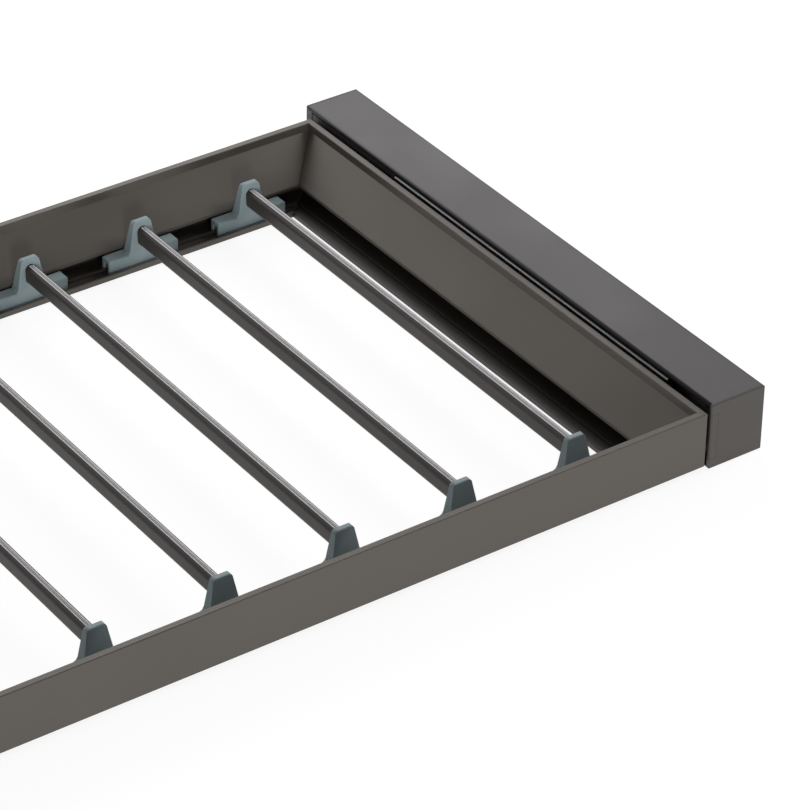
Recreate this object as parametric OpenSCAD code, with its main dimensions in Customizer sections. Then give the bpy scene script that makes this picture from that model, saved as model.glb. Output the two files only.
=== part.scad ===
// Pull-out trouser rack for a wardrobe: a mitred tray frame with clip-on hanging bars,
// carried by telescopic ball slides inside two side casings.
// Millimetres. X runs across the wardrobe, Y from front to back, Z up.
// The origin is the middle of the underside. Everything is drawn with the rack pushed in.

/* [Overall] */
// Clear width between the wardrobe's side panels
clear_w = 864; // [700:1:1200]
// Length of each side casing, front to back
casing_l = 510; // [510:1:600]
// Gap between the frame and each casing
frame_gap = 3.7; // [3:0.1:6]

/* [Casing] */
// Width of a casing
casing_w = 48.4; // [40:0.1:60]
// Height of a casing
casing_h = 54.4; // [53.5:0.1:64]
// Wall of the casing extrusion
casing_t = 1.8; // [1.5:0.1:2.4]
// Radius of the casing's long edges
casing_r = 2.3; // [1:0.1:2.6]
// Height of the lips above and below the casing's open side
casing_lip = 2.4; // [2.2:0.1:3.4]
// Thickness of the front and rear caps
cap_t = 2.5; // [2:0.1:4]
// How far the caps' pegs reach into the casing
cap_peg_l = 9; // [6:0.5:14]
// Length of the rear cap's inner side flange
cap_flange_l = 5.5; // [4:0.5:6]

/* [Casing fixing] */
// First fixing hole, back from the front edge
fix_first = 37; // [30:0.5:40]
// Distance between the two fixing holes
fix_pitch = 448; // [440:1:450]
// Radius of the fixing holes in the outer wall
fix_r = 2.6; // [2:0.1:3]
// Radius of the driver's access holes
access_r = 6; // [5:0.1:7]

/* [Frame] */
// Depth of the frame, front to back
frame_d = 498; // [494:0.5:499]
// Underside of the frame above the casings' underside
frame_z = 1; // [0.5:0.1:2]
// Height of the frame's rails
rail_h = 48.4; // [46:0.1:50]
// Depth of a rail, from its outer face to its inner lip
rail_d = 50; // [49:0.1:54]
// Wall of the rail extrusion
rail_t = 1.8; // [1.4:0.1:2]
// Width of the rim on top of a rail
rim_w = 5.6; // [5:0.1:7]
// Height of the upright band under the rim
rim_band = 6.4; // [5:0.1:8]
// Distance of the leaning face's foot from the rail's outer face
foot_s = 35; // [34.5:0.1:35.1]
// Height of the leaning face's foot
foot_h = 16.3; // [15.6:0.1:18]
// Height of the nose at the foot of the leaning face
nose_t = 1.8; // [1.4:0.1:2]
// Depth of the hollow behind the leaning face's foot
recess_d = 15; // [12:0.5:15.5]
// Height of the rail's outer wall above the channel's underside
step_h = 3.1; // [2.8:0.1:4]
// Height of the inner lip
lip_h = 4.6; // [4:0.1:6]
// Thickness of the inner lip
lip_t = 1.5; // [1.2:0.1:2]
// Distance of the clip rib from the rail's outer face
rib_s = 37.8; // [37.6:0.1:38]
// Thickness of the clip rib
rib_t = 1.2; // [1:0.1:1.4]
// Height of the clip rib
rib_h = 4.6; // [4:0.1:5.2]
// Size of the small bevels on the rails' long edges
edge_bevel = 0.5; // [0.3:0.1:0.7]
// Gap left at each mitred end
mitre_gap = 0.1; // [0.05:0.05:0.2]

/* [Hanging bars] */
// Number of hanging bars
bar_n = 7; // [5:1:8]
// Centre of the first bar from the frame's outer side
bar_first = 85.2; // [84:0.1:95]
// Width of a bar
bar_w = 9; // [8:0.1:10]
// Height of a bar
bar_h = 16; // [14:0.1:17]
// Wall of a bar's tube
bar_t = 1.3; // [1:0.1:1.6]
// Top of a bar above the frame's underside
bar_top_h = 34.4; // [33:0.1:36]
// Width of the grip strip
strip_w = 4; // [3:0.1:4.6]
// Depth of the groove that holds the strip
strip_groove = 1.2; // [1:0.1:1.4]
// Height of the strip above its groove's floor, at the middle
strip_h = 1.8; // [1.6:0.1:2]

/* [Bar supports] */
// Length of a support's saddle
saddle_l = 61.5; // [50:0.5:64]
// Inner face of a support from the rail's outer face
saddle_s = 45.3; // [45:0.1:46]
// Front-to-back depth of the saddle
saddle_d = 10.2; // [10:0.1:10.4]
// Top of the saddle above the frame's underside
saddle_top = 13.2; // [12:0.1:13.8]
// Top of the tongue above the frame's underside
tongue_top = 39.4; // [39:0.1:44]
// Width of the tongue at its foot
tongue_foot_w = 24.6; // [22:0.1:25]
// Width of the tongue at its top
tongue_top_w = 14.6; // [14:0.1:16]
// Thickness of the tongue at its top
tongue_top_t = 4.6; // [4:0.1:5.5]
// Thickness of the tongue at its foot
tongue_foot_t = 8.8; // [8:0.1:9.6]
// How far the tongue's inner face leans towards the rail
tongue_lean = 1.4; // [0:0.1:2]
// Radius of the tongue's top corners
tongue_r = 3.5; // [2:0.1:4]
// Radius of the fillets at the tongue's foot
tongue_fillet = 2.5; // [2:0.1:4]
// How far a bar's end sits in its support
socket_d = 2.8; // [2:0.1:3]

/* [Slides] */
// Length of the slide members
slide_l = 450; // [440:1:450]
// Front end of the slides, back from the casing's front
slide_first = 51; // [49.5:0.5:52]
// Height of the cabinet member
slide_h = 45; // [44.6:0.1:45.2]
// Thickness of a whole slide
slide_u = 12.7; // [12.7:0.1:13]
// Thickness of the rolled sheet
sheet_t = 1.2; // [1.1:0.05:1.3]
// Radius of the larger balls' raceways
big_track_r = 2.05; // [2:0.01:2.1]
// Radius of the smaller balls' raceways
small_track_r = 1.65; // [1.6:0.01:1.7]
// Length of the ball cages
cage_l = 200; // [200:1:220]
// Length of the closing damper's housing at the slide's rear end
damper_l = 111; // [90:1:111]
// Thickness of the housing's lip over the slide's flange
damper_lip_t = 1; // [0.8:0.1:1.6]

/* [Slot covers] */
// Thickness of a slot cover's bracket
cover_t = 2.5; // [2:0.1:3]
// Height of a slot cover's bracket
cover_h = 28; // [20:0.5:32]
// Length of a slot cover, front to back
cover_l = 42; // [38:0.5:46]
// Depth at which its bracket crosses the gap
cover_neck = 10; // [8:0.5:12]

/* [Hidden] */
$fn = 48;

// Finishes
housing_colour = [0.36, 0.345, 0.335];
frame_colour = [0.37, 0.35, 0.33];
bar_colour = [0.27, 0.25, 0.24];
strip_colour = [0.62, 0.63, 0.64];
support_colour = [0.42, 0.47, 0.49];
steel_colour = [0.72, 0.73, 0.75];
cage_colour = [0.62, 0.6, 0.55];
damper_colour = [0.12, 0.12, 0.13];

// Reach of a cutter past the surface that it leaves through
overrun = 1;
// Play between moulded or sliding pieces
play = 0.15;
// Play round a screw in the hole it passes through
screw_play = 0.05;

// Places that follow from the sizes above
front_y = -casing_l / 2;
casing_x = clear_w / 2 - casing_w;
frame_w = 2 * (casing_x - frame_gap);
bar_pitch = (frame_w - 2 * bar_first) / (bar_n - 1);

// Slide section. u runs from the cabinet member's web towards the frame, v is the height
// from the middle of the slide. Each roof is tangent to the balls that run along it.
bend_r = 0.8;
hook_angle = 10;
ear_angle = 210;
ball_play = 0.1;
big_ball_r = big_track_r - ball_play;
small_ball_r = small_track_r - ball_play;
big_u = 5.7;
big_v = slide_h / 2 - sheet_t - big_track_r;
middle_u = 3;
middle_roof_v = big_v - big_track_r - sheet_t;
small_u = 7.6;
small_v = middle_roof_v - small_track_r;
drawer_roof_v = small_v - small_track_r - sheet_t;
cage_t = 0.5;
ball_pitch = 26;
ball_n = 8;
slide_y = front_y + slide_first;
slide_z = casing_h / 2;
web_x = slide_u - frame_gap;
cage_y = slide_y + slide_l / 2;
// Reach of the cabinet member's hooks, which are cut away behind the damper's front end
hook_u = big_u + big_track_r + sheet_t;
hook_relief_l = damper_l + play;

// Slot in the front cap, through which the middle and drawer members run out
slot_play = 0.5;
slot_u = web_x - middle_u + slot_play;
slot_v = big_v - big_track_r / 2 + slot_play;

// Rail section, worked out along the leaning face
lean_run = foot_s - rim_w;
lean_drop = rail_h - rim_band - foot_h;
lean_slope = lean_drop / lean_run;
lean_shift = rail_t * sqrt(1 + lean_slope * lean_slope);
web_s = foot_s - recess_d;

// Screws
case_screw_r = 2;
case_screw_l = 5;
head_r = 3.6;
head_h = 1;
slide_screw_shares = [0.06, 0.5, 0.9];
cover_screw_shares = [0.5, 0.82];
bracket_s = rail_t + play;
bracket_arm = 46;
bracket_w = 14;
bracket_t = 8;
bracket_screw_s = 34;
bracket_head_h = 2.2;

// Shell of a bar support's saddle, and the small bevels on its upper edges
saddle_shell = 2.2;
saddle_roof = 3.3;
saddle_bevel = 0.6;

// Draws an outline of X and Z as a bar of the given length along Y
module along_y(l) {
  translate([0, l, 0]) rotate([90, 0, 0]) linear_extrude(l) children();
}

// Draws an outline of Y and Z as a bar of the given length along X
module along_x(l) {
  rotate([90, 0, 90]) linear_extrude(l) children();
}

// Puts the right-hand piece on the right, or its mirror image on the left
module on_side(side) {
  if (side == "right") children();
  else mirror([1, 0, 0]) children();
}

// A rectangle with true round corners
module round_rect(w, h, r) {
  translate([r, 0]) square([w - 2 * r, h]);
  translate([0, r]) square([w, h - 2 * r]);
  for (x = [r, w - r], y = [r, h - r]) translate([x, y]) circle(r);
}

// Side casing
// The extrusion's outline: u runs outwards from the side that faces the frame
module casing_outline() {
  difference() {
    round_rect(casing_w, casing_h, casing_r);
    translate([web_x + casing_t, casing_t])
      square([casing_w - web_x - 2 * casing_t, casing_h - 2 * casing_t]);
    translate([casing_t, casing_t]) square([web_x - casing_t, casing_h - 2 * casing_t]);
    translate([-overrun, casing_lip]) square([casing_t + 2 * overrun, casing_h - 2 * casing_lip]);
  }
}

// A hole of the given radius through one of the casing's upright walls, at half height
module wall_hole(u, y, r) {
  translate([u - overrun, y, slide_z]) rotate([0, 90, 0]) cylinder(r = r, h = casing_t + 2 * overrun);
}

module casing(side) {
  body_l = casing_l - 2 * cap_t;
  color(housing_colour) on_side(side) translate([casing_x, front_y + cap_t, 0]) difference() {
    along_y(body_l) casing_outline();
    for (y = [fix_first, fix_first + fix_pitch]) {
      wall_hole(casing_w - casing_t, y - cap_t, fix_r);
      wall_hole(web_x, y - cap_t, access_r);
    }
    for (share = slide_screw_shares)
      wall_hole(web_x, slide_first - cap_t + share * slide_l, case_screw_r + screw_play);
  }
}

// A cap's plate, with its outer edges bevelled
module cap_plate() {
  bevel = cap_t / 3;
  intersection() {
    along_y(cap_t) round_rect(casing_w, casing_h, casing_r);
    along_x(casing_w)
      polygon([[0, bevel], [bevel, 0], [cap_t, 0], [cap_t, casing_h], [bevel, casing_h],
               [0, casing_h - bevel]]);
    linear_extrude(casing_h) polygon([
      [0, bevel], [bevel, 0], [casing_w - bevel, 0], [casing_w, bevel], [casing_w, cap_t], [0, cap_t]]);
  }
}

// The two pegs that hold a cap in the casing's closed chamber
module cap_pegs() {
  peg_t = 2 * casing_t;
  chamber_u = web_x + casing_t + play;
  chamber_w = casing_w - web_x - 2 * casing_t - 2 * play;
  for (z = [casing_t + play, casing_h - casing_t - play - peg_t])
    translate([chamber_u, cap_t, z]) cube([chamber_w, cap_peg_l, peg_t]);
}

module front_cap(side) {
  color(housing_colour) on_side(side) translate([casing_x, front_y, 0]) {
    difference() {
      cap_plate();
      translate([-overrun, -overrun, slide_z - slot_v])
        cube([slot_u + overrun, cap_t + 2 * overrun, 2 * slot_v]);
    }
    cap_pegs();
  }
}

// A moulded cover that closes the front cap's slot while the rack is pushed in. Its bracket
// crosses the gap behind the front and is screwed to the side rail.
module slot_cover(side) {
  v = slot_v - play;
  u0 = slot_u / 2;
  u1 = slot_u - 2 * play;
  color(housing_colour) on_side(side) {
    translate([casing_x, front_y, 0]) intersection() {
      cap_plate();
      translate([0, 0, slide_z - v]) cube([slot_u - play, cap_t, 2 * v]);
    }
    difference() {
      translate([casing_x, front_y, slide_z - cover_h / 2]) linear_extrude(cover_h) polygon([
        [u0, cap_t / 2], [u1, cap_t / 2], [u1, cover_neck + cover_t],
        [cover_t - frame_gap, cover_neck + cover_t], [cover_t - frame_gap, cover_l],
        [-frame_gap, cover_l], [-frame_gap, cover_neck], [u0, cover_neck]]);
      cover_screw_places() screw_cut(cover_t);
    }
  }
}

module rear_cap(side) {
  color(housing_colour) on_side(side) translate([casing_x, -front_y, 0]) mirror([0, 1, 0]) {
    cap_plate();
    cap_pegs();
    translate([0, cap_t, casing_lip + play])
      cube([casing_t, cap_flange_l, casing_h - 2 * casing_lip - 2 * play]);
  }
}

// Telescopic slide
// Places a slide section of u and v, and runs it along the slide
module slide_run(first, l) {
  translate([casing_x + web_x, slide_y + first, slide_z]) along_y(l) mirror([1, 0]) children();
}

// Both halves of a section that is the same above and below its middle
module both_halves() {
  children();
  mirror([0, 1]) children();
}

// Both halves of an outline that is the same left and right of its middle
module both_sides() {
  children();
  mirror([1, 0]) children();
}

// Rolled sheet that bends round a circle, from one angle to another
module curl(r, from, to) {
  reach = 2 * (r + sheet_t);
  intersection() {
    difference() {
      circle(r + sheet_t);
      circle(r);
    }
    polygon([[0, 0], for (a = [from : (to - from) / 2 : to]) reach * [cos(a), sin(a)]]);
  }
}

module cabinet_section(hooked) {
  bend = sheet_t + bend_r;
  both_halves() {
    square([sheet_t, slide_h / 2 - bend]);
    translate([bend, slide_h / 2 - bend]) curl(bend_r, 90, 180);
    translate([bend, slide_h / 2 - sheet_t]) square([big_u - bend, sheet_t]);
    if (hooked) translate([big_u, big_v]) curl(big_track_r, -hook_angle, 90);
  }
}

module cabinet_member(side) {
  color(steel_colour) on_side(side) difference() {
    union() {
      slide_run(0, slide_l - hook_relief_l) cabinet_section(true);
      slide_run(slide_l - hook_relief_l, hook_relief_l) cabinet_section(false);
    }
    cabinet_screw_places() screw_cut(sheet_t);
    translate([casing_x + web_x + overrun, front_y + fix_first + fix_pitch, slide_z]) rotate([0, -90, 0])
      cylinder(r = access_r, h = sheet_t + 2 * overrun);
  }
}

// Housing of the closing damper: a strip above and one below, where the cabinet member has no
// hooks, each with a lip that sits on the member's flange
module damper(side) {
  foot_v = middle_roof_v + 2 * sheet_t + play;
  lip_v = slide_h / 2 + play;
  color(damper_colour) on_side(side) slide_run(slide_l - damper_l, damper_l) both_halves() polygon([
    [big_u + play, foot_v], [hook_u, foot_v], [hook_u, lip_v + damper_lip_t],
    [big_u / 2, lip_v + damper_lip_t], [big_u / 2, lip_v], [big_u + play, lip_v]]);
}

module middle_section() {
  bend = middle_u + sheet_t + bend_r;
  both_halves() {
    translate([middle_u, 0]) square([sheet_t, middle_roof_v - bend_r]);
    translate([bend, middle_roof_v - bend_r]) curl(bend_r, 90, 180);
    translate([bend, middle_roof_v]) square([small_u - bend, sheet_t]);
    translate([small_u, small_v]) curl(small_track_r, -hook_angle, 90);
    translate([big_u, big_v]) curl(big_track_r, ear_angle, 270);
  }
}

module middle_member(side) {
  color(steel_colour) on_side(side) slide_run(0, slide_l) middle_section();
}

module drawer_section() {
  bend = slide_u - sheet_t - bend_r;
  both_halves() {
    translate([slide_u - sheet_t, 0]) square([sheet_t, drawer_roof_v - bend_r]);
    translate([bend, drawer_roof_v - bend_r]) curl(bend_r, 0, 90);
    translate([small_u, drawer_roof_v]) square([bend - small_u, sheet_t]);
    translate([small_u, small_v]) curl(small_track_r, ear_angle, 270);
  }
}

module drawer_member(side) {
  color(steel_colour) on_side(side) difference() {
    slide_run(0, slide_l) drawer_section();
    drawer_screw_places() screw_cut(sheet_t);
  }
}

// A countersunk screw, with its head's top at the origin and its point along +Z
module flat_screw() {
  cylinder(r1 = head_r, r2 = case_screw_r, h = head_h);
  cylinder(r = case_screw_r, h = case_screw_l);
}

// The hole for a countersunk screw through a sheet of the given thickness
module screw_cut(t) {
  cylinder(r1 = head_r + screw_play, r2 = case_screw_r + screw_play, h = head_h);
  translate([0, 0, -overrun]) cylinder(r = case_screw_r + screw_play, h = t + 2 * overrun);
}

// Screws from the cabinet member into the casing's web
module cabinet_screw_places() {
  for (share = slide_screw_shares)
    translate([casing_x + web_x - sheet_t, slide_y + share * slide_l, slide_z])
      rotate([0, 90, 0]) children();
}

// Screws from the drawer member into the side rail
module drawer_screw_places() {
  for (share = slide_screw_shares)
    translate([casing_x - frame_gap + sheet_t, slide_y + share * slide_l, slide_z])
      rotate([0, -90, 0]) children();
}

// Screws from the slot cover into the side rail
module cover_screw_places() {
  for (share = cover_screw_shares)
    translate([casing_x - frame_gap + cover_t, front_y + share * cover_l, slide_z])
      rotate([0, -90, 0]) children();
}

module cabinet_screws() {
  color(steel_colour) for (side = ["left", "right"]) on_side(side) cabinet_screw_places() flat_screw();
}

module slide_screws() {
  color(steel_colour) for (side = ["left", "right"]) on_side(side) {
    drawer_screw_places() flat_screw();
    cover_screw_places() flat_screw();
  }
}

// Places one child at each ball of a cage
module ball_row(u, v) {
  for (i = [0 : ball_n - 1], end = [-1, 1])
    translate([casing_x + web_x - u, cage_y + (i - (ball_n - 1) / 2) * ball_pitch, slide_z + end * v])
      children();
}

// A ball cage: a folded strip whose flanges have a row of open pockets for the balls
module cage(side, web_u, ball_u, ball_v, ball_r) {
  on_side(side) difference() {
    slide_run((slide_l - cage_l) / 2, cage_l) both_halves() {
      translate([web_u, 0]) square([cage_t, ball_v + cage_t / 2]);
      translate([web_u, ball_v - cage_t / 2]) square([ball_u + ball_r / 2 - web_u, cage_t]);
    }
    ball_row(ball_u, ball_v) translate([0, 0, -cage_t]) cylinder(r = ball_r + play, h = 2 * cage_t);
  }
}

module outer_cage(side) {
  color(cage_colour) cage(side, sheet_t + play, big_u, big_v, big_ball_r);
}

module outer_balls(side) {
  color(steel_colour) on_side(side) ball_row(big_u, big_v) sphere(big_ball_r);
}

module inner_cage(side) {
  color(cage_colour) cage(side, middle_u + sheet_t + play, small_u, small_v, small_ball_r);
}

module inner_balls(side) {
  color(steel_colour) on_side(side) ball_row(small_u, small_v) sphere(small_ball_r);
}

// Tray frame
// The rail's outline: s runs inwards from the outer face, h up from the channel's underside
module rail_outline() {
  band_h = rail_h - rim_band;
  shoulder_h = band_h + rail_t * lean_slope - lean_shift;
  chamber_foot_h = band_h - (web_s - rail_t - rim_w) * lean_slope - lean_shift;
  difference() {
    polygon([
      [0, step_h + edge_bevel], [0, rail_h - edge_bevel], [edge_bevel, rail_h],
      [rim_w - edge_bevel, rail_h], [rim_w, rail_h - edge_bevel], [rim_w, band_h],
      [foot_s - edge_bevel, foot_h + edge_bevel * lean_slope], [foot_s, foot_h - edge_bevel],
      [foot_s, foot_h - nose_t], [foot_s - (lean_shift - nose_t) / lean_slope, foot_h - nose_t],
      [web_s, foot_h + recess_d * lean_slope - lean_shift], [web_s, rail_t],
      [rib_s, rail_t], [rib_s, rib_h], [rib_s + rib_t, rib_h], [rib_s + rib_t, rail_t],
      [rail_d - lip_t, rail_t], [rail_d - lip_t, lip_h - edge_bevel],
      [rail_d - lip_t + edge_bevel, lip_h], [rail_d - edge_bevel, lip_h],
      [rail_d, lip_h - edge_bevel], [rail_d, 0], [web_s - rail_t, 0],
      [web_s - rail_t, step_h], [edge_bevel, step_h]]);
    polygon([
      [rail_t, step_h + rail_t], [rail_t, rail_h - rail_t], [rim_w - rail_t, rail_h - rail_t],
      [rim_w - rail_t, shoulder_h], [web_s - rail_t, chamber_foot_h],
      [web_s - rail_t, step_h + rail_t]]);
  }
}

// A rail along X with mitred ends. Its outer face lies on y = 0 and it reaches towards +Y.
module rail(l) {
  difference() {
    intersection() {
      translate([-l / 2, 0, 0]) along_x(l) rail_outline();
      linear_extrude(rail_h) polygon([
        [mitre_gap - l / 2, 0], [l / 2 - mitre_gap, 0], [l / 2 - rail_d - mitre_gap, rail_d],
        [rail_d + mitre_gap - l / 2, rail_d]]);
    }
    for (end = [-1, 1]) translate([end * (l / 2 - bracket_screw_s), bracket_s + bracket_w / 2, 0])
      cylinder(r = case_screw_r + screw_play, h = step_h + rail_t + overrun);
  }
}

// A side rail, with the holes for the screws of its slide and slot cover
module side_rail(side) {
  on_side(side) difference() {
    translate([frame_w / 2, front_y + frame_d / 2, frame_z]) rotate([0, 0, 90]) rail(frame_d);
    drawer_screw_places() cylinder(r = case_screw_r + screw_play, h = case_screw_l);
    cover_screw_places() cylinder(r = case_screw_r + screw_play, h = case_screw_l + overrun);
  }
}

module front_rail() {
  color(frame_colour) translate([0, front_y, frame_z]) rail(frame_w);
}

module back_rail() {
  color(frame_colour) translate([0, front_y + frame_d, frame_z]) rotate([0, 0, 180]) rail(frame_w);
}

module left_rail() {
  color(frame_colour) side_rail("left");
}

module right_rail() {
  color(frame_colour) side_rail("right");
}

// Places one child at each corner of the frame, with its corner at the origin and its arms
// along +X and +Y
module at_corners() {
  for (mx = [0, 1], my = [0, 1])
    translate([0, front_y + frame_d / 2, frame_z])
      mirror([mx, 0, 0]) mirror([0, my, 0]) translate([-frame_w / 2, -frame_d / 2, 0]) children();
}

module corner_brackets() {
  far = bracket_s + bracket_w;
  color(steel_colour) at_corners() difference() {
    translate([0, 0, step_h + rail_t + play]) linear_extrude(bracket_t) polygon([
      [bracket_s, bracket_s], [bracket_arm, bracket_s], [bracket_arm, far], [far, far],
      [far, bracket_arm], [bracket_s, bracket_arm]]);
    bracket_screw_places() cylinder(r = case_screw_r + screw_play, h = rail_h);
  }
}

// Places one child at each of a corner's two screws
module bracket_screw_places() {
  s = bracket_s + bracket_w / 2;
  translate([bracket_screw_s, s, 0]) children();
  translate([s, bracket_screw_s, 0]) children();
}

module bracket_screws() {
  color(steel_colour) at_corners() bracket_screw_places() translate([0, 0, step_h - bracket_head_h]) {
    cylinder(r = head_r, h = bracket_head_h);
    cylinder(r = case_screw_r, h = bracket_head_h + rail_t + bracket_t);
  }
}

// Hanging bars
function bar_x(i) = -frame_w / 2 + bar_first + (i - 1) * bar_pitch;

// An upright oval outline of X and Z, with its middle at the origin
module oval(w, h) {
  translate([-w / 2, -(h - w) / 2]) square([w, h - w]);
  for (end = [-1, 1]) translate([0, end * (h - w) / 2]) circle(w / 2);
}

module bar_outline() {
  difference() {
    oval(bar_w, bar_h);
    difference() {
      oval(bar_w - 2 * bar_t, bar_h - 2 * bar_t);
      translate([-bar_w / 2, bar_h / 2 - strip_groove - bar_t]) square([bar_w, bar_h]);
    }
    translate([-strip_w / 2 - play / 2, bar_h / 2 - strip_groove]) square([strip_w + play, bar_h]);
  }
}

module bar(i) {
  l = frame_d - 2 * (saddle_s - socket_d + play);
  color(bar_colour) translate([bar_x(i), front_y + frame_d / 2 - l / 2, frame_z + bar_top_h - bar_h / 2])
    along_y(l) bar_outline();
}

// The grip strip's outline: a flat foot and a low crown
module strip_outline() {
  crown = strip_h - strip_groove;
  r = (strip_w * strip_w / 4 + crown * crown) / (2 * crown);
  intersection() {
    translate([-strip_w / 2, 0]) square([strip_w, strip_h]);
    translate([0, strip_h - r]) circle(r, $fn = 96);
  }
}

module grip_strip(i) {
  l = frame_d - 2 * (saddle_s + play);
  color(strip_colour)
    translate([bar_x(i), front_y + frame_d / 2 - l / 2, frame_z + bar_top_h - strip_groove])
      along_y(l) strip_outline();
}

// A bar support: a saddle that straddles the rail's rib, and a tapered tongue with a socket for
// the bar's end. Drawn for the front rail, with the rail's outer face on y = 0.
module support() {
  back_s = saddle_s - saddle_d;
  floor_h = rail_t + play;
  core_l = saddle_l / 3;
  foot_back_s = saddle_s - tongue_foot_t;
  tip_s = saddle_s - tongue_lean;
  difference() {
    union() {
      translate([-saddle_l / 2, back_s, floor_h]) saddle_block(saddle_top - floor_h);
      intersection() {
        translate([0, saddle_s, 0]) rotate([90, 0, 0]) linear_extrude(saddle_d) tongue_outline();
        translate([-saddle_l / 2, 0, 0]) along_x(saddle_l) polygon([
          [foot_back_s, floor_h], [saddle_s, floor_h], [saddle_s, saddle_top],
          [tip_s, tongue_top - saddle_bevel], [tip_s - saddle_bevel, tongue_top],
          [tip_s - tongue_top_t + saddle_bevel, tongue_top],
          [tip_s - tongue_top_t, tongue_top - saddle_bevel], [foot_back_s, saddle_top]]);
      }
    }
    for (x = [-saddle_l / 2 - overrun, core_l / 2]) translate([x, back_s + saddle_shell, 0])
      cube([(saddle_l - core_l) / 2 + overrun, saddle_d - 2 * saddle_shell, saddle_top - saddle_roof]);
    translate([-saddle_l / 2, rib_s - play, 0]) cube([saddle_l, rib_t + 2 * play, rib_h + play]);
    translate([0, saddle_s - socket_d, bar_top_h - bar_h / 2]) along_y(socket_d + overrun)
      oval(bar_w + 2 * play, bar_h + 2 * play);
  }
}

// The saddle's solid block, with its upper edges bevelled
module saddle_block(h) {
  intersection() {
    along_x(saddle_l)
      polygon([[0, 0], [saddle_d, 0], [saddle_d, h - saddle_bevel], [saddle_d - saddle_bevel, h], [0, h]]);
    along_y(saddle_d) polygon([
      [0, 0], [saddle_l, 0], [saddle_l, h - saddle_bevel], [saddle_l - saddle_bevel, h],
      [saddle_bevel, h], [0, h - saddle_bevel]]);
  }
}

// The tongue seen from the front: it narrows upwards, with round top corners and a fillet at
// each side of its foot
module tongue_outline() {
  foot = tongue_foot_w / 2;
  top = tongue_top_w / 2;
  lean = atan2(foot - top, tongue_top - saddle_top);
  arc_x = top + tongue_r * (sin(lean) - 1) / cos(lean);
  arc_h = tongue_top - tongue_r;
  side = [arc_x + tongue_r * cos(lean), arc_h + tongue_r * sin(lean)];
  both_sides() {
    polygon([
      [0, rail_t + play], [foot, rail_t + play], [foot, saddle_top], side, [arc_x, tongue_top],
      [0, tongue_top]]);
    translate([arc_x, arc_h]) circle(tongue_r);
    translate([foot - tongue_fillet, saddle_top]) difference() {
      square([2 * tongue_fillet, tongue_fillet]);
      translate([2 * tongue_fillet, tongue_fillet]) circle(tongue_fillet);
    }
  }
}

module front_support(i) {
  color(support_colour) translate([bar_x(i), front_y, frame_z]) support();
}

module rear_support(i) {
  color(support_colour) translate([bar_x(i), front_y + frame_d, frame_z]) mirror([0, 1, 0]) support();
}

casing("left");  // casing_left
casing("right");  // casing_right
front_cap("left");  // front_cap_left
front_cap("right");  // front_cap_right
rear_cap("left");  // rear_cap_left
rear_cap("right");  // rear_cap_right
cabinet_member("left");  // cabinet_member_left
cabinet_member("right");  // cabinet_member_right
cabinet_screws();
damper("left");  // damper_left
damper("right");  // damper_right
middle_member("left");  // middle_member_left
middle_member("right");  // middle_member_right
outer_cage("left");  // outer_cage_left
outer_cage("right");  // outer_cage_right
outer_balls("left");  // outer_balls_left
outer_balls("right");  // outer_balls_right
inner_cage("left");  // inner_cage_left
inner_cage("right");  // inner_cage_right
inner_balls("left");  // inner_balls_left
inner_balls("right");  // inner_balls_right
drawer_member("left");  // drawer_member_left
drawer_member("right");  // drawer_member_right
slot_cover("left");  // slot_cover_left
slot_cover("right");  // slot_cover_right
slide_screws();
front_rail();
back_rail();
left_rail();
right_rail();
corner_brackets();
bracket_screws();
for (i = [1 : bar_n]) {
  bar(i);
  grip_strip(i);
  front_support(i);
  rear_support(i);
}
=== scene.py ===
"""Looks of a pull-out trouser rack: a mitred tray frame with hanging bars on telescopic slides.

Metres. X runs across the wardrobe, Y from front to back, Z up. The rack is drawn pushed in.
"""

import math

import bmesh
import bpy
from mathutils import Matrix, Vector

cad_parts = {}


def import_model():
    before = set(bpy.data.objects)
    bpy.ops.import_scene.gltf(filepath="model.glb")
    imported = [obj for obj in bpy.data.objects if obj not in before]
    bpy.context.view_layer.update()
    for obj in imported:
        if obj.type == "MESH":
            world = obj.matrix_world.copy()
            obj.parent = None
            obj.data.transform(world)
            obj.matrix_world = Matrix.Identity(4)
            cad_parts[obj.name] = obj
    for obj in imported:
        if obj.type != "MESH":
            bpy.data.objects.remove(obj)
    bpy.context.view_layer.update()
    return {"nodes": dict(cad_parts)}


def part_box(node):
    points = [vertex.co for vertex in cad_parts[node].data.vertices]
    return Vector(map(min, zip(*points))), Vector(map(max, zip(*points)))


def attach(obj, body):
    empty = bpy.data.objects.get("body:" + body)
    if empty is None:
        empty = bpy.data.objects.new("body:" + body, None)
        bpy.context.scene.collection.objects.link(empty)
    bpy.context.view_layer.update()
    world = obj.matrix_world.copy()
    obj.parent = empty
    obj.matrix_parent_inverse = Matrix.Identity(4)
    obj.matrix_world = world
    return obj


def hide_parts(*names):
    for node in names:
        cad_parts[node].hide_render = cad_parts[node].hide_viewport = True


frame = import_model()
nodes = frame["nodes"]

MM = 0.001
SIDES = ("left", "right")
BARS = range(1, 8)

# Grip strip: a ribbed back between two smooth beads, near white as a painted highlight, on a foot,
# black as painted shade, that laps over the bar
RIB_PITCH = 2 * MM
RIB_TOP = 1.2 * MM
RIB_HALF_W = 1.1 * MM
RIB_RISE = 0.55 * MM
RIB_ROUND = 0.4 * MM
RIB_DIP = 0.78
BEAD_HALF_W = 1.8 * MM
BEAD_RISE = 0.32 * MM
BEAD_ROUND = 0.18 * MM
FOOT_HALF_W = 2.9 * MM
FOOT_DEPTH = 1.25 * MM
FOOT_TOP = -0.28 * MM
FOOT_FALL = 0.68 * MM

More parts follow.
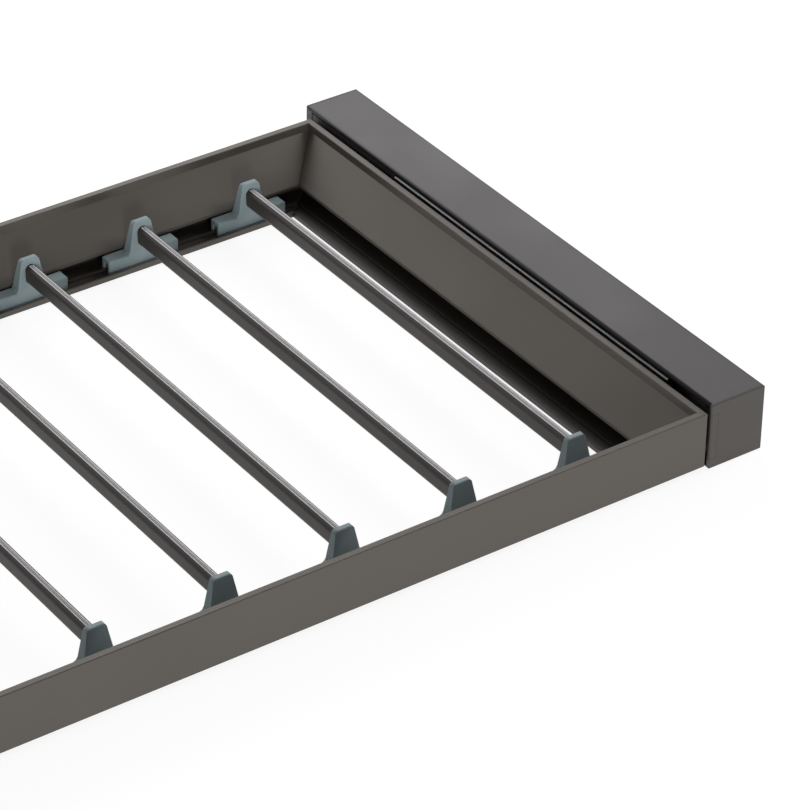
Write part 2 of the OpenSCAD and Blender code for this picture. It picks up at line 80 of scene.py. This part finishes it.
# Screws: countersunk through the slides, pan heads under the corners
SCREW_SIDES = 32
HEAD_R = 3.6 * MM
HEAD_H = 1 * MM
HEAD_RIM = 0.15 * MM
SCREW_R = 2 * MM
SCREW_ROOT_R = 1.6 * MM
THREAD_PITCH = 0.7 * MM
FLAT_L = 5 * MM
PAN_H = 2.2 * MM
PAN_L = 12 * MM
PAN_STEP = 0.35 * MM
PAN_FACE_R = 2.5 * MM
PAN_MID_R = 3.25 * MM
RECESS_L = 3.2 * MM
RECESS_W = 0.8 * MM
RECESS_DEPTH = 0.8 * MM
# Screws along a slide and along a slot cover, as shares of its length from the front
SLIDE_SCREW_SHARES = (0.06, 0.5, 0.9)
COVER_SCREW_SHARES = (0.5, 0.82)
COVER_L = 42 * MM
SHEET_T = 1.2 * MM
COVER_T = 2.5 * MM
# Screws under a corner bracket, in from the frame's outer faces
BRACKET_NEAR = 8.95 * MM
BRACKET_FAR = 34 * MM

# Rounding of the moulded supports' edges and the metal ones
SUPPORT_EDGE = 0.45 * MM
METAL_EDGE = 0.3 * MM
EDGE_SEGMENTS = 2
EDGE_ANGLE = math.radians(30)
FLAT_ANGLE = math.radians(1)

# Finishes, as linear colours
CASING_COLOUR = (0.089, 0.0835, 0.0835)
# The caps are the casing's finish made darker and warmer: painted shade of the casing's front face
CAP_SHADED_COLOUR = (0.071, 0.0635, 0.058)
FRAME_COLOUR = (0.111, 0.0995, 0.0875)
BAR_COLOUR = (0.058, 0.0495, 0.0445)
STRIP_COLOUR = (0.39, 0.38, 0.40)
# Near white on the beads: a painted highlight along the strip's edges
BEAD_HIGHLIGHT_COLOUR = (0.84, 0.84, 0.85)
# Black on the foot: painted shade of the groove beside the strip
FOOT_SHADE_COLOUR = (0.012, 0.012, 0.013)
DAMPER_COLOUR = (0.018, 0.018, 0.019)
SUPPORT_COLOUR = (0.320, 0.398, 0.418)
SUPPORT_SHINE = 0.25
STEEL_COLOUR = (0.30, 0.305, 0.31)
SCREW_COLOUR = (0.45, 0.45, 0.46)
CAGE_COLOUR = (0.46, 0.44, 0.39)
BALL_COLOUR = (0.66, 0.66, 0.67)
BRACKET_COLOUR = (0.40, 0.40, 0.41)
# How far the die's lines and the rolling lines are drawn out along a piece
DIE_STRETCH = 0.012
ROLLED_STRETCH = 0.02
# Painted shade: tone of a casing's inner side, and where it starts and ends, out from the side by
# the frame
INSIDE_SHADE_TONE = 0.15
INSIDE_FROM = 0.5 * MM
INSIDE_TO = 3 * MM
# Painted shade in a side rail's channel: its tone, the heights between which it ends, and how far
# in from the outer face it starts
CHANNEL_SHADE_TONE = 0.5
FOOT_LOW = 7 * MM
FOOT_HIGH = 9 * MM
FOOT_FROM_OUTER = 6 * MM
# Painted shade: tone of the cabinet member behind its rolled edge, and where the edge ends
BEHIND_SHADE_TONE = 0.2
EDGE_FROM = 0.5 * MM
EDGE_TO = 0.9 * MM

# Camera, fitted to the photograph's corners
CAMERA_PLACE = (-1.1766, -2.0609, 1.6523)
CAMERA_AZIMUTH = -35.644
CAMERA_ELEVATION = 33.967
CAMERA_ROLL = 0.956
CAMERA_LENS = 181.5
CAMERA_SENSOR = 36

# Floor and light. The floor is a hair below the rack, so that their faces don't coincide
FLOOR_RADIUS = 30
FLOOR_SIDES = 96
FLOOR_HEIGHT = -0.2 * MM
FLOOR_COLOUR = (0.86, 0.86, 0.86)
FLOOR_ROUGHNESS = 0.9
FLOOR_SHADOW = 0.22
FLOOR_WHITE = 0.88
WORLD_LIGHT = 0.165
# Lamps: place, width of the disk and power
LAMPS = {
    "right": ((2.9, -0.3, 1.8), 2.0, 51),
    "back_right": ((1.8, 2.6, 2.0), 2.0, 23),
    "back": ((0.3, 3.1, 1.6), 2.0, 27),
    "back_left": ((-1.6, 2.8, 1.6), 2.0, 17),
    "low_front": ((-0.9, -3.0, 0.45), 0.8, 41),
}


# ---------- shader helpers

def recipe(name):
    """A new material, its node tree and its main shader."""
    made = bpy.data.materials.new(name)
    made.use_nodes = True
    return made, made.node_tree, made.node_tree.nodes["Principled BSDF"]


def surface_place(tree, stretch=(1, 1, 1)):
    """Object coordinates, stretched along the axes where a finish runs one way."""
    coords = tree.nodes.new("ShaderNodeTexCoord")
    mapping = tree.nodes.new("ShaderNodeMapping")
    mapping.inputs["Scale"].default_value = stretch
    tree.links.new(coords.outputs["Object"], mapping.inputs["Vector"])
    return mapping.outputs["Vector"]


def noise(tree, per_metre, detail, place=None):
    """A noise pattern with so many spots to the metre."""
    made = tree.nodes.new("ShaderNodeTexNoise")
    made.inputs["Scale"].default_value = per_metre
    made.inputs["Detail"].default_value = detail
    tree.links.new(place or surface_place(tree), made.inputs["Vector"])
    return made.outputs["Fac"]


def lines_along(tree, axis, stretch, per_metre, detail):
    """Noise drawn out into lines along one axis."""
    across = [stretch if axis == other else 1 for other in "xyz"]
    return noise(tree, per_metre, detail, surface_place(tree, across))


def spread(tree, value, low, high, from_low=0.3, from_high=0.7):
    """Brings a pattern's value into a range."""
    made = tree.nodes.new("ShaderNodeMapRange")
    ends = {"From Min": from_low, "From Max": from_high, "To Min": low, "To Max": high}
    for socket, number in ends.items():
        made.inputs[socket].default_value = number
    tree.links.new(value, made.inputs["Value"])
    return made.outputs["Result"]


def combined(tree, operation, *values):
    """The result of one sum on one or two values."""
    made = tree.nodes.new("ShaderNodeMath")
    made.operation = operation
    for value, socket in zip(values, made.inputs):
        tree.links.new(value, socket)
    return made.outputs["Value"]


def shaded(tree, colour, brightness):
    """The finish's colour, made a little darker or lighter by a pattern around 1."""
    made = tree.nodes.new("ShaderNodeVectorMath")
    made.operation = "SCALE"
    made.inputs[0].default_value = colour
    tree.links.new(brightness, made.inputs["Scale"])
    return made.outputs["Vector"]


def relief(tree, height, distance):
    """A fine relief in the surface, as deep as the distance."""
    made = tree.nodes.new("ShaderNodeBump")
    made.inputs["Distance"].default_value = distance
    made.inputs["Strength"].default_value = 1
    tree.links.new(height, made.inputs["Height"])
    return made.outputs["Normal"]


def clothe(tree, shader, colour, tone, roughness, normal):
    """Links a finish's colour, roughness and relief to the main shader."""
    tree.links.new(shaded(tree, colour, tone), shader.inputs["Base Color"])
    tree.links.new(roughness, shader.inputs["Roughness"])
    tree.links.new(normal, shader.inputs["Normal"])


# ---------- painted shade: tones that change with the place

def from_middle(tree, axis):
    """How far a point is from the rack's middle along one axis."""
    coords = tree.nodes.new("ShaderNodeTexCoord")
    split = tree.nodes.new("ShaderNodeSeparateXYZ")
    tree.links.new(coords.outputs["Object"], split.inputs["Vector"])
    return combined(tree, "ABSOLUTE", split.outputs[axis])


def tone_by_place(tree, tone, axis, near, far, start, end):
    """Changes a tone with the distance from the rack's middle along one axis."""
    change = spread(tree, from_middle(tree, axis), near, far, start, end)
    return combined(tree, "MULTIPLY", tone, change)


def painted_shade_inside(tree, tone):
    """Painted shade: a casing is darkened at its side by the frame and a few millimetres in from
    it, standing in for the shade and dark reflection of the gap.
    """
    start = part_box("casing_right")[0][0]
    return tone_by_place(tree, tone, "X", INSIDE_SHADE_TONE, 1, start + INSIDE_FROM, start + INSIDE_TO)


def painted_shade_in_channel(tree, tone):
    """Painted shade: the channel at a side rail's foot is darkened below the faces above it, where
    the recess is in shade.
    """
    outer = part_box("right_rail")[1][0] - FOOT_FROM_OUTER
    choice = tree.nodes.new("ShaderNodeMix")
    inside = spread(tree, from_middle(tree, "X"), 1, 0, outer - MM, outer)
    low = tone_by_place(tree, tone, "Z", CHANNEL_SHADE_TONE, 1, FOOT_LOW, FOOT_HIGH)
    for socket, value in {"Factor": inside, "A": tone, "B": low}.items():
        tree.links.new(value, choice.inputs[socket])
    return choice.outputs["Result"]


def painted_shade_behind_edge(tree, tone):
    """Painted shade: a slide member keeps its plating's tone at the rolled edge by the frame and is
    darkened behind it, where the gap is in shade.
    """
    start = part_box("cabinet_member_right")[0][0]
    return tone_by_place(tree, tone, "X", 1, BEHIND_SHADE_TONE, start + EDGE_FROM, start + EDGE_TO)


# ---------- materials

def anodised(name, colour, along, metallic=0.45, gloss=(0.36, 0.46), change=None):
    """Satin anodised extrusion: faint lines from the die along its length, a fine grain, and
    a slow change of tone over the piece."""
    made, tree, shader = recipe(name)
    lines = lines_along(tree, along, DIE_STRETCH, per_metre=1400, detail=2)
    grain = noise(tree, per_metre=5200, detail=1)
    slow = noise(tree, per_metre=9, detail=2)
    tone = spread(tree, slow, 0.95, 1.05)
    tone = combined(tree, "MULTIPLY", tone, spread(tree, lines, 0.975, 1.025))
    tone = combined(tree, "MULTIPLY", tone, spread(tree, grain, 0.96, 1.04))
    # A change given here darkens the piece by place, as painted shade.
    if change:
        tone = change(tree, tone)
    surface = relief(tree, combined(tree, "ADD", lines, grain), distance=4e-6)
    clothe(tree, shader, colour, tone, spread(tree, slow, *gloss), surface)
    shader.inputs["Metallic"].default_value = metallic
    return made


def moulded(name, colour, gloss=(0.42, 0.52), shine=0.5):
    """Moulded plastic with a fine spark texture."""
    made, tree, shader = recipe(name)
    grain = noise(tree, per_metre=3600, detail=2)
    slow = noise(tree, per_metre=40, detail=2)
    tone = spread(tree, slow, 0.96, 1.04)
    tone = combined(tree, "MULTIPLY", tone, spread(tree, grain, 0.95, 1.05))
    surface = relief(tree, grain, distance=8e-6)
    clothe(tree, shader, colour, tone, spread(tree, slow, *gloss), surface)
    shader.inputs["Specular IOR Level"].default_value = shine
    return made


def plated(name, colour, gloss=(0.24, 0.36), change=None):
    """Zinc-plated rolled steel: rolling lines from front to back and a cloudy plating."""
    made, tree, shader = recipe(name)
    lines = lines_along(tree, "y", ROLLED_STRETCH, per_metre=1800, detail=3)
    cloud = noise(tree, per_metre=60, detail=3)
    tone = spread(tree, cloud, 0.9, 1.06)
    tone = combined(tree, "MULTIPLY", tone, spread(tree, lines, 0.95, 1.05))
    # A change given here darkens the piece by place, as painted shade.
    if change:
        tone = change(tree, tone)
    surface = relief(tree, lines, distance=3e-6)
    clothe(tree, shader, colour, tone, spread(tree, cloud, *gloss), surface)
    shader.inputs["Metallic"].default_value = 1
    return made


def rubber(name, colour, gloss=(0.5, 0.62)):
    """Soft rubber: matt, with a faint bloom."""
    made, tree, shader = recipe(name)
    bloom = noise(tree, per_metre=150, detail=3)
    grain = noise(tree, per_metre=6000, detail=1)
    tone = spread(tree, bloom, 0.93, 1.05)
    surface = relief(tree, grain, distance=6e-6)
    clothe(tree, shader, colour, tone, spread(tree, bloom, *gloss), surface)
    return made


def dress(piece, material):
    """Gives a piece its one material."""
    piece.data.materials.clear()
    piece.data.materials.append(material)


def left_and_right(*kinds):
    """The CAD nodes of some kinds that come as a left one and a right one."""
    return [nodes[f"{kind}_{side}"] for kind in kinds for side in SIDES]


def numbered(*kinds):
    """The CAD nodes of some kinds that each bar has one of."""
    return [nodes[f"{kind}_{i}"] for kind in kinds for i in BARS]


def dress_all():
    """Gives each CAD node that stays in view its finish."""
    looks = (
        # The casing's side by the frame carries painted shade.
        (anodised("anodised_casing_painted_shade", CASING_COLOUR, "y", change=painted_shade_inside),
         left_and_right("casing")),
        (moulded("moulded_cap_painted_shade", CAP_SHADED_COLOUR), left_and_right("front_cap", "rear_cap", "slot_cover")),
        (anodised("anodised_frame_x", FRAME_COLOUR, "x"),
         [nodes["front_rail"], nodes["back_rail"]]),
        # The side rails' channels carry painted shade.
        (anodised("anodised_frame_y_painted_shade", FRAME_COLOUR, "y", change=painted_shade_in_channel),
         [nodes["left_rail"], nodes["right_rail"]]),
        (anodised("lacquered_bar", BAR_COLOUR, "y", 0.15, (0.5, 0.58)), numbered("bar")),
        (moulded("moulded_support", SUPPORT_COLOUR, (0.5, 0.6), SUPPORT_SHINE),
         numbered("front_support", "rear_support")),
        (moulded("moulded_damper", DAMPER_COLOUR, (0.5, 0.6)), left_and_right("damper")),
        (plated("plated_slide", STEEL_COLOUR), left_and_right("middle_member", "drawer_member")),
        (plated("plated_cabinet_slide_painted_shade", STEEL_COLOUR, change=painted_shade_behind_edge),
         left_and_right("cabinet_member")),
        (plated("cage_strip", CAGE_COLOUR, (0.32, 0.42)),
         left_and_right("outer_cage", "inner_cage")),
        (plated("ball_steel", BALL_COLOUR, (0.1, 0.16)),
         left_and_right("outer_balls", "inner_balls")),
        (plated("cast_bracket", BRACKET_COLOUR, (0.4, 0.5)), [nodes["corner_brackets"]]),
    )
    for material, pieces in looks:
        for piece in pieces:
            dress(piece, material)


# ---------- modelling helpers

def select_only(*pieces):
    """Selects these pieces alone, and makes the first one active."""
    bpy.ops.object.select_all(action="DESELECT")
    for piece in pieces:
        piece.select_set(True)
    bpy.context.view_layer.objects.active = pieces[0]


def edit(piece, mode="EDGE"):
    """Opens one piece for editing, with nothing selected."""
    select_only(piece)
    bpy.ops.object.mode_set(mode="EDIT")
    bpy.ops.mesh.select_mode(type=mode)
    bpy.ops.mesh.select_all(action="DESELECT")


def leave():
    bpy.ops.object.mode_set(mode="OBJECT")


def choose(kind, test):
    """Selects the vertices, edges or faces of the open mesh that pass a test."""
    data = bpy.context.edit_object.data
    mesh = bmesh.from_edit_mesh(data)
    for part in getattr(mesh, kind):
        part.select_set(bool(test(part)))
    bmesh.update_edit_mesh(data)


def face_outwards():
    """Turns all faces of the open mesh outwards, and closes it for editing."""
    bpy.ops.mesh.select_all(action="SELECT")
    bpy.ops.mesh.normals_make_consistent(inside=False)
    leave()


def apply_place(piece):
    select_only(piece)
    bpy.ops.object.transform_apply(location=True, rotation=True, scale=True)


def block(name, low, high):
    """A block between two corners, as the start of a piece."""
    centre = [(a + b) / 2 for a, b in zip(low, high)]
    bpy.ops.mesh.primitive_cube_add(size=1, location=centre)
    made = bpy.context.object
    made.name = name
    made.scale = [b - a for a, b in zip(low, high)]
    apply_place(made)
    return made


def round_long_edges(piece, size, segments, test):
    """Rounds the edges that run front to back and pass a test of their middle."""
    def long_and_passes(line):
        start, end = (vertex.co for vertex in line.verts)
        return abs(start.y - end.y) > size and test((start + end) / 2)

    edit(piece)
    choose("edges", long_and_passes)
    bpy.ops.mesh.bevel(offset=size, segments=segments, affect="EDGES")
    leave()


def apply_modifier(piece, kind, **values):
    made = piece.modifiers.new(kind.lower(), kind)
    for key, value in values.items():
        setattr(made, key, value)
    bpy.context.view_layer.objects.active = piece
    bpy.ops.object.modifier_apply(modifier=made.name)


def copied(piece, name, move):
    """A copy of a piece with its own mesh, moved in the mesh."""
    made = piece.copy()
    made.data = piece.data.copy()
    made.name = name
    made.data.transform(move)
    bpy.context.scene.collection.objects.link(made)
    return made


def joined(pieces):
    """Makes some pieces one, which keeps the first one's name."""
    select_only(*pieces)
    bpy.ops.object.join()
    return pieces[0]


def mirrored_pair(piece, centre):
    """Adds the mirror image at the bar's other side and joins the two."""
    over = Matrix.Translation((2 * centre, 0, 0)) @ Matrix.Scale(-1, 4, (1, 0, 0))
    joined([piece, copied(piece, "other_side", over)])
    edit(piece)
    face_outwards()
    return piece


# ---------- grip strips

def strip_ribs(centre, start, end, floor, top):
    """The strip's ribbed back: one rib and the dip behind it, repeated along the bar."""
    count = round((end - start) / RIB_PITCH)
    pitch = (end - start) / count
    slope = (pitch - RIB_TOP) / 2
    middle = (centre, start, (floor + top + RIB_RISE) / 2)
    bpy.ops.mesh.primitive_plane_add(size=1, location=middle, rotation=(math.radians(90), 0, 0))
    made = bpy.context.object
    made.name = "strip_ribs_1"
    made.scale = (2 * RIB_HALF_W, top + RIB_RISE - floor, 1)
    apply_place(made)
    edit(made, "VERT")
    choose("verts", lambda v: v.co.z > top)
    bpy.ops.mesh.bevel(offset=RIB_ROUND, segments=2, affect="VERTICES")
    bpy.ops.mesh.select_all(action="SELECT")
    foot = (centre, start, floor)
    for length, size in ((RIB_TOP, 1), (slope, RIB_DIP), (slope, 1 / RIB_DIP)):
        bpy.ops.mesh.extrude_region_move(TRANSFORM_OT_translate={"value": (0, length, 0)})
        bpy.ops.transform.resize(value=(1, 1, size), center_override=foot)
    bpy.ops.mesh.select_mode(type="FACE")
    choose("faces", lambda f: abs(f.normal.y) > 0.9)
    bpy.ops.mesh.delete(type="ONLY_FACE")
    leave()
    apply_modifier(made, "ARRAY", count=count, use_relative_offset=False, use_constant_offset=True,
                   constant_offset_displace=(0, pitch, 0), use_merge_vertices=True,
                   merge_threshold=0.01 * MM)
    edit(made)
    bpy.ops.mesh.select_non_manifold()
    bpy.ops.mesh.fill_holes(sides=0)
    face_outwards()
    return made


def strip_beads(centre, start, end, floor, top):
    """The two smooth beads beside the ribs, coloured near white as a painted highlight."""
    made = block("strip_beads_1", (centre + RIB_HALF_W, start, floor),
                 (centre + BEAD_HALF_W, end, top + BEAD_RISE))
    round_long_edges(made, BEAD_ROUND, 2, lambda place: place.z > top)
    return mirrored_pair(made, centre)


def strip_foot(centre, start, end, top):
    """The foot, black as painted shade of the groove beside the strip, which falls off to both
    sides with the bar's back.
    """
    upper, outer = top - FOOT_DEPTH / 2, centre + (BEAD_HALF_W + FOOT_HALF_W) / 2
    made = block("strip_foot_1", (centre + BEAD_HALF_W, start, top - FOOT_DEPTH),
                 (centre + FOOT_HALF_W, end, top + FOOT_TOP))
    edit(made, "VERT")
    choose("verts", lambda v: v.co.z > upper and v.co.x > outer)
    bpy.ops.transform.translate(value=(0, 0, -FOOT_FALL))
    leave()
    return mirrored_pair(made, centre)


def grip_strips():
    """The first bar's grip strip, and its copies on the other bars."""
    low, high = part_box("grip_strip_1")
    centre = (low[0] + high[0]) / 2
    start, end, floor = low[1], high[1], low[2]
    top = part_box("bar_1")[1][2]
    step = (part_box("grip_strip_7")[0][0] - low[0]) / (len(BARS) - 1)
    ribs = strip_ribs(centre, start, end, floor, top)
    beads = strip_beads(centre, start, end, floor, top)
    foot = strip_foot(centre, start, end, top)
    dress(ribs, rubber("grip_rubber", STRIP_COLOUR))
    dress(beads, rubber("bead_painted_highlight", BEAD_HIGHLIGHT_COLOUR, (0.3, 0.4)))
    dress(foot, rubber("foot_painted_shade", FOOT_SHADE_COLOUR))
    kinds = {"strip_ribs": ribs, "strip_beads": beads, "strip_foot": foot}
    for i in BARS:
        move = Matrix.Translation(((i - 1) * step, 0, 0))
        for kind, piece in kinds.items():
            made = piece if i == 1 else copied(piece, f"{kind}_{i}", move)
            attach(made, f"bar_{i}")
            if kind == "strip_ribs":
                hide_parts(f"grip_strip_{i}")


# ---------- screws

def screw(name, stations):
    """A screw that stands on its head at the origin: rings of a rise and a radius from the head's
    face to the tip, with a cross recess in the head."""
    radius = stations[0][1]
    bpy.ops.mesh.primitive_circle_add(vertices=SCREW_SIDES, radius=radius, fill_type="NGON",
                                      location=(0, 0, 0))
    made = bpy.context.object
    made.name = name
    edit(made, "FACE")
    bpy.ops.mesh.select_all(action="SELECT")
    for rise, ring in stations[1:]:
        bpy.ops.mesh.extrude_region_move(TRANSFORM_OT_translate={"value": (0, 0, rise)})
        bpy.ops.transform.resize(value=(ring / radius, ring / radius, 1), center_override=(0, 0, 0))
        radius = ring
    face_outwards()
    for reach in ((RECESS_L, RECESS_W), (RECESS_W, RECESS_L)):
        half = [size / 2 for size in reach]
        cutter = block("recess", [-size for size in half] + [-RECESS_DEPTH], half + [RECESS_DEPTH])
        apply_modifier(made, "BOOLEAN", object=cutter, operation="DIFFERENCE", solver="EXACT")
        bpy.data.objects.remove(cutter)
    return made


def threaded(length):
    """Rings of a thread's roots and crests along a shank."""
    turns = int(length / THREAD_PITCH)
    return turns * [(THREAD_PITCH / 2, SCREW_ROOT_R), (THREAD_PITCH / 2, SCREW_R)]


def flat_screw():
    head = [(0, HEAD_R), (HEAD_RIM, HEAD_R), (HEAD_H - HEAD_RIM, SCREW_R)]
    return screw("flat_screw", head + threaded(FLAT_L - HEAD_H))


def pan_screw():
    head = [(0, PAN_FACE_R), (PAN_STEP, PAN_MID_R), (PAN_STEP, HEAD_R),
            (PAN_H - 2 * PAN_STEP, HEAD_R), (0, SCREW_R)]
    return screw("pan_screw", head + threaded(PAN_L - PAN_H))


def turned_to_x(sign, place, turn):
    """Puts a screw at a place, driven along X, with its recess turned as the driver left it."""
    return (Matrix.Translation(place) @ Matrix.Rotation(sign * math.radians(90), 4, "Y")
            @ Matrix.Rotation(turn, 4, "Z"))


def slide_places(turns):
    """Places of the screws that hold the cabinet members, and of those in the side rails."""
    low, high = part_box("cabinet_member_right")
    height = (low[2] + high[2]) / 2
    depths = [low[1] + share * (high[1] - low[1]) for share in SLIDE_SCREW_SHARES]
    cabinet_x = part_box("cabinet_screws")[1][0] - FLAT_L
    outer_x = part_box("right_rail")[1][0]
    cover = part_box("front_cap_right")[0][1]
    cover_depths = [cover + share * COVER_L for share in COVER_SCREW_SHARES]
    cabinet, tray = [], []
    for sign in (-1, 1):
        for places, way, x, rows in ((cabinet, sign, cabinet_x, depths),
                                     (tray, -sign, outer_x + SHEET_T, depths),
                                     (tray, -sign, outer_x + COVER_T, cover_depths)):
            places += [turned_to_x(way, (sign * x, y, height), next(turns)) for y in rows]
    return cabinet, tray


def corner_places(turns):
    """Places of the screws under the corner brackets, two to a corner."""
    outer_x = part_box("right_rail")[1][0]
    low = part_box("bracket_screws")[0][2]
    front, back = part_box("front_rail")[0][1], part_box("back_rail")[1][1]
    corners = []
    for side in (-1, 1):
        for wall, inwards in ((front, 1), (back, -1)):
            for across, along in ((BRACKET_NEAR, BRACKET_FAR), (BRACKET_FAR, BRACKET_NEAR)):
                place = (side * (outer_x - across), wall + inwards * along, low)
                corners.append(Matrix.Translation(place) @ Matrix.Rotation(next(turns), 4, "Z"))
    return corners


def set_of_screws(name, model, places, body, finish):
    """Copies of one screw at their places, as one piece that stands for the CAD's screws."""
    made = joined([copied(model, f"{name}_{k}", place) for k, place in enumerate(places)])
    made.name = name + "_driven"
    dress(made, finish)
    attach(made, body)
    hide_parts(name)


def all_screws():
    finish = plated("screw_steel", SCREW_COLOUR, (0.2, 0.3))
    flat, pan = flat_screw(), pan_screw()
    turns = iter(range(1, 100))
    cabinet, tray = slide_places(turns)
    set_of_screws("cabinet_screws", flat, cabinet, "casings", finish)
    set_of_screws("slide_screws", flat, tray, "tray", finish)
    set_of_screws("bracket_screws", pan, corner_places(turns), "tray", finish)
    for model in (flat, pan):
        bpy.data.objects.remove(model)


# ---------- softer edges on the solids

def soften(solid, width):
    """Rounds a solid's edges a little where light would catch them; its mesh stays as it is."""
    merged = solid.modifiers.new("joined", "WELD")
    merged.merge_threshold = 0.001 * MM
    plain = solid.modifiers.new("plain", "DECIMATE")
    plain.decimate_type = "DISSOLVE"
    plain.angle_limit = FLAT_ANGLE
    edge = solid.modifiers.new("edge", "BEVEL")
    edge.width = width
    edge.segments = EDGE_SEGMENTS
    edge.limit_method = "ANGLE"
    edge.angle_limit = EDGE_ANGLE
    edge.use_clamp_overlap = True


def soften_all():
    rails = [nodes[f"{place}_rail"] for place in ("front", "back", "left", "right")]
    for solid in rails + left_and_right("casing", "front_cap", "rear_cap"):
        soften(solid, METAL_EDGE)
    for solid in numbered("front_support", "rear_support"):
        soften(solid, SUPPORT_EDGE)


# ---------- stage

def seen_directly(tree):
    """One where the camera, a reflection or a glass shows a surface, and zero where it only
    lights."""
    path = tree.nodes.new("ShaderNodeLightPath")
    seen = combined(tree, "MAXIMUM", path.outputs["Is Camera Ray"], path.outputs["Is Glossy Ray"])
    return combined(tree, "MAXIMUM", seen, path.outputs["Is Transmission Ray"])


def either(tree, factor, first, second):
    """The first shader where the factor is zero, and the second where it is one."""
    made = tree.nodes.new("ShaderNodeMixShader")
    for value, socket in zip((factor, first, second), made.inputs):
        tree.links.new(value, socket)
    return made.outputs["Shader"]


def pale_floor():
    """Shows as white and keeps the rack's soft shadow. From below it is clear, so that the
    rack's underside can be seen."""
    made, tree, shader = recipe("pale_floor")
    shader.inputs["Base Color"].default_value = (*FLOOR_COLOUR, 1)
    shader.inputs["Roughness"].default_value = FLOOR_ROUGHNESS
    shadow = tree.nodes.new("ShaderNodeBsdfDiffuse")
    shadow.inputs["Color"].default_value = (FLOOR_SHADOW, FLOOR_SHADOW, FLOOR_SHADOW, 1)
    glow = tree.nodes.new("ShaderNodeEmission")
    glow.inputs["Strength"].default_value = FLOOR_WHITE
    white = tree.nodes.new("ShaderNodeAddShader")
    tree.links.new(shadow.outputs["BSDF"], white.inputs[0])
    tree.links.new(glow.outputs["Emission"], white.inputs[1])
    side = tree.nodes.new("ShaderNodeNewGeometry")
    clear = tree.nodes.new("ShaderNodeBsdfTransparent")
    above = either(tree, seen_directly(tree), shader.outputs["BSDF"], white.outputs["Shader"])
    whole = either(tree, side.outputs["Backfacing"], above, clear.outputs["BSDF"])
    tree.links.new(whole, tree.nodes["Material Output"].inputs["Surface"])
    return made


def floor():
    bpy.ops.mesh.primitive_circle_add(vertices=FLOOR_SIDES, radius=FLOOR_RADIUS,
                                      fill_type="NGON", location=(0, 0, FLOOR_HEIGHT))
    made = bpy.context.object
    made.name = "floor"
    made.data.materials.append(pale_floor())


def world():
    made = bpy.data.worlds.new("studio")
    made.use_nodes = True
    light = made.node_tree.nodes["Background"]
    light.inputs["Color"].default_value = (1, 1, 1, 1)
    light.inputs["Strength"].default_value = WORLD_LIGHT
    bpy.context.scene.world = made


def lamp(name, place, size, power):
    data = bpy.data.lights.new(name, "AREA")
    data.shape = "DISK"
    data.size = size
    data.energy = power
    made = bpy.data.objects.new(name, data)
    made.location = place
    made.rotation_euler = Vector(place).to_track_quat("Z", "Y").to_euler()
    made.visible_camera = False
    bpy.context.scene.collection.objects.link(made)


def camera():
    data = bpy.data.cameras.new("camera")
    data.lens = CAMERA_LENS
    data.sensor_width = CAMERA_SENSOR
    made = bpy.data.objects.new("camera", data)
    turn = Matrix.Rotation(math.radians(CAMERA_AZIMUTH), 4, "Z")
    turn = turn @ Matrix.Rotation(math.radians(90 - CAMERA_ELEVATION), 4, "X")
    turn = turn @ Matrix.Rotation(math.radians(CAMERA_ROLL), 4, "Z")
    made.matrix_world = Matrix.Translation(CAMERA_PLACE) @ turn
    bpy.context.scene.collection.objects.link(made)
    bpy.context.scene.camera = made


bpy.ops.object.select_all(action="DESELECT")
camera()
floor()
world()
for name, (place, size, power) in LAMPS.items():
    lamp(name, place, size, power)
dress_all()
grip_strips()
all_screws()
soften_all()
bpy.context.scene.view_settings.view_transform = "Standard"
